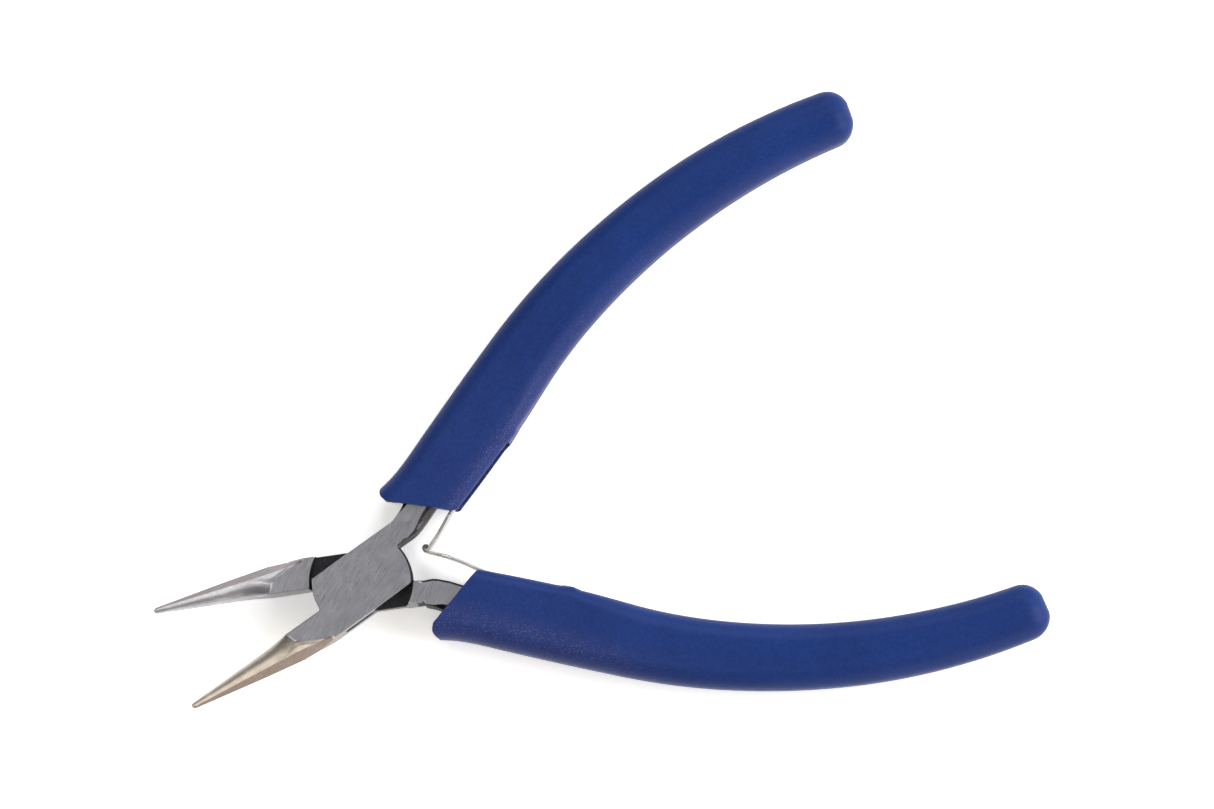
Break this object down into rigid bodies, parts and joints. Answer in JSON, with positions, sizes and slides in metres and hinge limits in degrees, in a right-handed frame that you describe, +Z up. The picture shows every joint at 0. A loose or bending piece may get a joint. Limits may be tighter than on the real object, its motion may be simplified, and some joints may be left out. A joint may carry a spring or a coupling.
{
  "type": "round nose pliers",
  "caption": "Box-joint round nose pliers with slim tapered jaws, soft moulded handle sleeves and a pair of hooked leaf springs that hold the handles open.",
  "frame": {"origin": "on the pivot axis, at the ground underside of the box joint", "axes": "+X along the line the closed jaws share, towards their tips; +Z up, along the pivot axis; +Y to the side of the jaw that belongs to the half with the slot"},
  "size_m": [0.1236, 0.0875, 0.0086],
  "materials": {
    "steel": "finely brushed, with dark unground recesses",
    "pin_steel": "ground flush with the joint",
    "sleeve": "satin soft PVC",
    "spring_steel": "bright rolled strip",
    "rivet_steel": "plain"
  },
  "bodies": {
    "box_half": {"box_half": "steel", "joint_pin": "pin_steel", "box_handle_sleeve": "sleeve", "box_spring_rivet": "rivet_steel"},
    "tongue_half": {"tongue_half": "steel", "tongue_handle_sleeve": "sleeve", "tongue_spring_rivet": "rivet_steel"},
    "box_leaf": {"box_leaf_spring": "spring_steel"},
    "tongue_leaf": {"tongue_leaf_spring": "spring_steel"}
  },
  "joints": [
    {"name": "jaw_pivot", "type": "hinge", "parent": "box_half", "child": "tongue_half", "pos_m": [0, 0, 0.0032], "axis": [0, 0, 1], "range_deg": [0, 26.8], "stiffness_Nm_per_rad": 0.6, "springref_deg": -8.59},
    {"name": "box_leaf_flex", "type": "hinge", "parent": "box_half", "child": "box_leaf", "pos_m": [-0.02653, -0.01118, 0.0032], "axis": [0, 0, 1], "range_deg": [-7.24, 0]},
    {"name": "tongue_leaf_flex", "type": "hinge", "parent": "tongue_half", "child": "tongue_leaf", "pos_m": [-0.02619, 0.01193, 0.0032], "axis": [0, 0, 1], "range_deg": [0, 8.58]}
  ],
  "couplings": [
    {"joint": "box_leaf_flex", "follows": "jaw_pivot", "ratio": -0.27},
    {"joint": "tongue_leaf_flex", "follows": "jaw_pivot", "ratio": 0.32}
  ]
}
